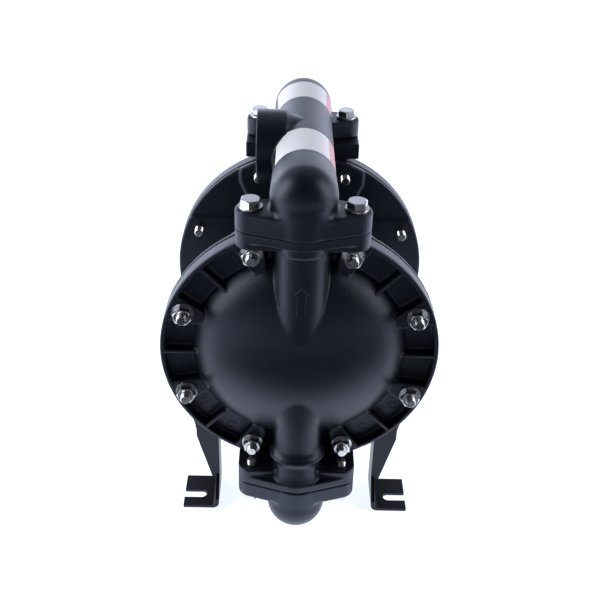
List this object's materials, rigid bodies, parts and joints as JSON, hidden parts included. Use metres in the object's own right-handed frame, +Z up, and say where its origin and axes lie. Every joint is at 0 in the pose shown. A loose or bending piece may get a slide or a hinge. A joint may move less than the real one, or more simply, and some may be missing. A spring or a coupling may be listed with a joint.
{
  "type": "air-operated double diaphragm pump",
  "caption": "Air-operated double diaphragm pump with domed, ribbed metal fluid caps, tube manifolds with side ports, ball check valves and slotted sheet feet.",
  "frame": {"origin": "on the floor under the middle of the pump, at the bottom centre of its box", "axes": "+Z up, -Y towards the front fluid cap, -X towards the ports of the two manifolds"},
  "size_m": [0.218, 0.226, 0.3413],
  "materials": {
    "casting": "cast aluminium with a satin black powder coat",
    "sheet_paint": "satin black powder coat on sheet steel",
    "fastener": "bright stainless steel",
    "rod_steel": "ground stainless steel",
    "plate_steel": "turned stainless steel",
    "elastomer": "matt moulded rubber",
    "seal_rubber": "matt rubber",
    "ball_rubber": "matt moulded rubber",
    "seat_plastic": "turned acetal",
    "bushing_plastic": "turned acetal",
    "sleeve_brass": "turned",
    "spool_aluminium": "hard anodised",
    "muffler_plastic": "moulded black plastic"
  },
  "bodies": {
    "pump_frame": {"fluid_cap_front": "casting", "air_cap_front": "casting", "diaphragm_front": "elastomer", "center_gasket_front": "seal_rubber", "hub_screws_front": "fastener", "cap_studs_front": "fastener", "cap_washers_front": "fastener", "cap_nuts_front": "fastener", "fluid_cap_rear": "casting", "air_cap_rear": "casting", "diaphragm_rear": "elastomer", "center_gasket_rear": "seal_rubber", "hub_screws_rear": "fastener", "cap_studs_rear": "fastener", "cap_washers_rear": "fastener", "cap_nuts_rear": "fastener", "outlet_manifold": "casting", "outlet_manifold_washers": "fastener", "outlet_manifold_bolts": "fastener", "outlet_manifold_seals": "seal_rubber", "outlet_seat_front": "seat_plastic", "outlet_seat_rear": "seat_plastic", "inlet_manifold": "casting", "inlet_manifold_washers": "fastener", "inlet_manifold_bolts": "fastener", "inlet_manifold_seals": "seal_rubber", "inlet_seat_front": "seat_plastic", "inlet_seat_rear": "seat_plastic", "center_body": "casting", "rod_bushings": "bushing_plastic", "rod_seals": "seal_rubber", "pilot_seals": "seal_rubber", "valve_gasket": "seal_rubber", "valve_body": "casting", "valve_sleeve": "sleeve_brass", "valve_end_caps": "casting", "valve_cap_screws": "fastener", "valve_bolts": "fastener", "muffler": "muffler_plastic", "leg_front_left": "sheet_paint", "leg_rear_left": "sheet_paint", "leg_front_right": "sheet_paint", "leg_rear_right": "sheet_paint", "leg_nuts": "fastener"},
    "rod_assembly": {"diaphragm_rod": "rod_steel", "inner_plate_front": "plate_steel", "inner_plate_rear": "plate_steel", "outer_plate_front": "plate_steel", "outer_plate_rear": "plate_steel", "plate_screw_front": "fastener", "plate_screw_rear": "fastener"},
    "pilot": {"pilot_rod": "rod_steel"},
    "spool": {"valve_spool": "spool_aluminium"},
    "outlet_ball_front": {"outlet_ball_front": "ball_rubber"},
    "outlet_ball_rear": {"outlet_ball_rear": "ball_rubber"},
    "inlet_ball_front": {"inlet_ball_front": "ball_rubber"},
    "inlet_ball_rear": {"inlet_ball_rear": "ball_rubber"}
  },
  "joints": [
    {"name": "rod_slide", "type": "slide", "parent": "pump_frame", "child": "rod_assembly", "axis": [0, 1, 0], "range_m": [-0.01, 0.01], "deforming": ["diaphragm_front", "diaphragm_rear"]},
    {"name": "pilot_slide", "type": "slide", "parent": "pump_frame", "child": "pilot", "axis": [0, 1, 0], "range_m": [-0.003, 0.003]},
    {"name": "spool_slide", "type": "slide", "parent": "pump_frame", "child": "spool", "axis": [0, 1, 0], "range_m": [-0.005, 0.005]},
    {"name": "outlet_ball_front_lift", "type": "slide", "parent": "pump_frame", "child": "outlet_ball_front", "axis": [0, 0, 1], "range_m": [0, 0.006]},
    {"name": "outlet_ball_rear_lift", "type": "slide", "parent": "pump_frame", "child": "outlet_ball_rear", "axis": [0, 0, 1], "range_m": [0, 0.006]},
    {"name": "inlet_ball_front_lift", "type": "slide", "parent": "pump_frame", "child": "inlet_ball_front", "axis": [0, 0, 1], "range_m": [0, 0.006]},
    {"name": "inlet_ball_rear_lift", "type": "slide", "parent": "pump_frame", "child": "inlet_ball_rear", "axis": [0, 0, 1], "range_m": [0, 0.006]}
  ],
  "couplings": [
    {"joint": "pilot_slide", "follows": "rod_slide", "ratio": 0.3}
  ]
}
